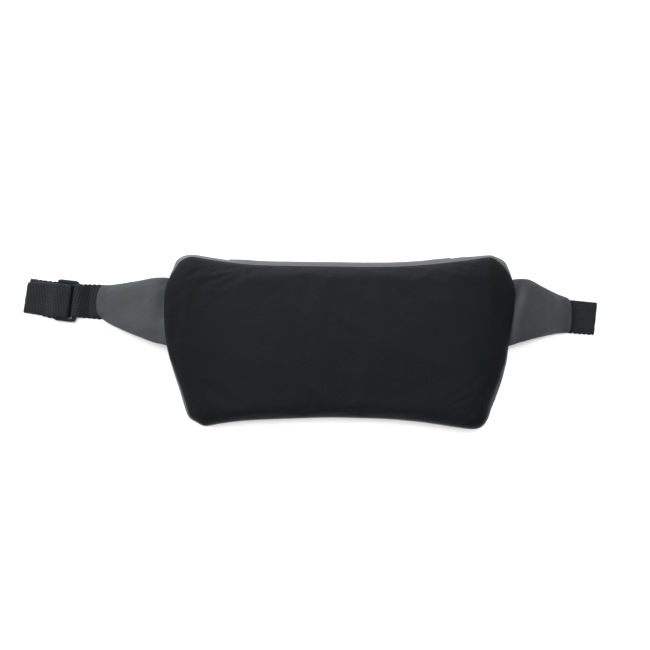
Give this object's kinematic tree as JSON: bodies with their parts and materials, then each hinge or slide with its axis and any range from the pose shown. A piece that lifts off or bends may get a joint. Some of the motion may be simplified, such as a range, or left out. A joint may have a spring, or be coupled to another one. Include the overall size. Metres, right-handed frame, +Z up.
{
  "type": "throw rope bag",
  "caption": "Waist-worn throw rope bag: padded back panel, cloth flap over a rope mouth, two tapered wings, and a webbing belt with adjuster and side-release buckle.",
  "frame": {"origin": "centre of the flat rest face of the pouch's front, which the bag lies on", "axes": "+Z up, out of the padded back panel towards the wearer; +Y to the bag's top edge, where the mouth and flap are; +X along the belt"},
  "size_m": [0.5044, 0.1435, 0.0501],
  "materials": {
    "panel_cloth": "matte",
    "foam": "matte",
    "lining": "matte",
    "coated_cloth": "satin",
    "binding_tape": "matte",
    "hook_tape": "matte",
    "eyelet_metal": "satin",
    "rope": "satin",
    "wing_cloth": "matte",
    "webbing": "matte",
    "resin": "satin"
  },
  "bodies": {
    "pouch": {"back_panel": "panel_cloth", "back_foam": "foam", "inner_liner": "lining", "front_shell": "coated_cloth", "mouth_binding": "binding_tape", "hook_strip": "hook_tape", "drain_grommets": "eyelet_metal", "throw_rope": "rope", "rope_end_loop": "rope", "rope_anchor_loop": "webbing"},
    "flap": {"flap": "coated_cloth", "flap_loop_strip": "hook_tape", "flap_pull_tab": "webbing"},
    "left_wing": {"left_wing": "wing_cloth", "left_webbing_front": "webbing", "left_webbing_adjuster": "webbing"},
    "triglide": {"triglide": "resin", "triglide_wrap": "webbing"},
    "left_strap": {"left_webbing_return": "webbing", "buckle_socket": "resin"},
    "right_wing": {"right_wing": "wing_cloth", "right_webbing_front": "webbing"},
    "right_strap": {"right_webbing_return": "webbing", "buckle_plug": "resin"},
    "prong_a": {"buckle_prong_a": "resin"},
    "prong_b": {"buckle_prong_b": "resin"}
  },
  "joints": [
    {"name": "flap_open", "type": "hinge", "parent": "pouch", "child": "flap", "pos_m": [0, 0.0682, 0.036], "axis": [1, 0, 0], "range_deg": [0, 150]},
    {"name": "left_wing_wrap", "type": "hinge", "parent": "pouch", "child": "left_wing", "pos_m": [-0.1522, 0.026, 0.0365], "axis": [0, 1, 0], "range_deg": [0, 90]},
    {"name": "right_wing_wrap", "type": "hinge", "parent": "pouch", "child": "right_wing", "pos_m": [0.1522, 0.026, 0.0365], "axis": [0, -1, 0], "range_deg": [0, 90]},
    {"name": "left_strap_unfold", "type": "hinge", "parent": "left_wing", "child": "left_strap", "pos_m": [-0.2765, 0.0384, 0.00245], "axis": [0.0698, 0.9976, 0], "range_deg": [0, 180]},
    {"name": "right_strap_unfold", "type": "hinge", "parent": "right_wing", "child": "right_strap", "pos_m": [0.226, 0.0195, 0.00125], "axis": [-0.0872, -0.9962, 0], "range_deg": [0, 180]},
    {"name": "triglide_slide", "type": "slide", "parent": "left_wing", "child": "triglide", "axis": [0.9976, -0.0698, 0], "range_m": [-0.015, 0.011], "deforming": ["left_webbing_adjuster"]},
    {"name": "prong_a_squeeze", "type": "hinge", "parent": "right_strap", "child": "prong_a", "pos_m": [0.14475, 0.01557, 0.006], "axis": [0, 0, -1], "range_deg": [0, 7], "stiffness_Nm_per_rad": 0.6},
    {"name": "prong_b_squeeze", "type": "hinge", "parent": "right_strap", "child": "prong_b", "pos_m": [0.14666, 0.03748, 0.006], "axis": [0, 0, 1], "range_deg": [0, 7], "stiffness_Nm_per_rad": 0.6}
  ],
  "couplings": [
    {"joint": "prong_b_squeeze", "follows": "prong_a_squeeze", "ratio": 1}
  ]
}
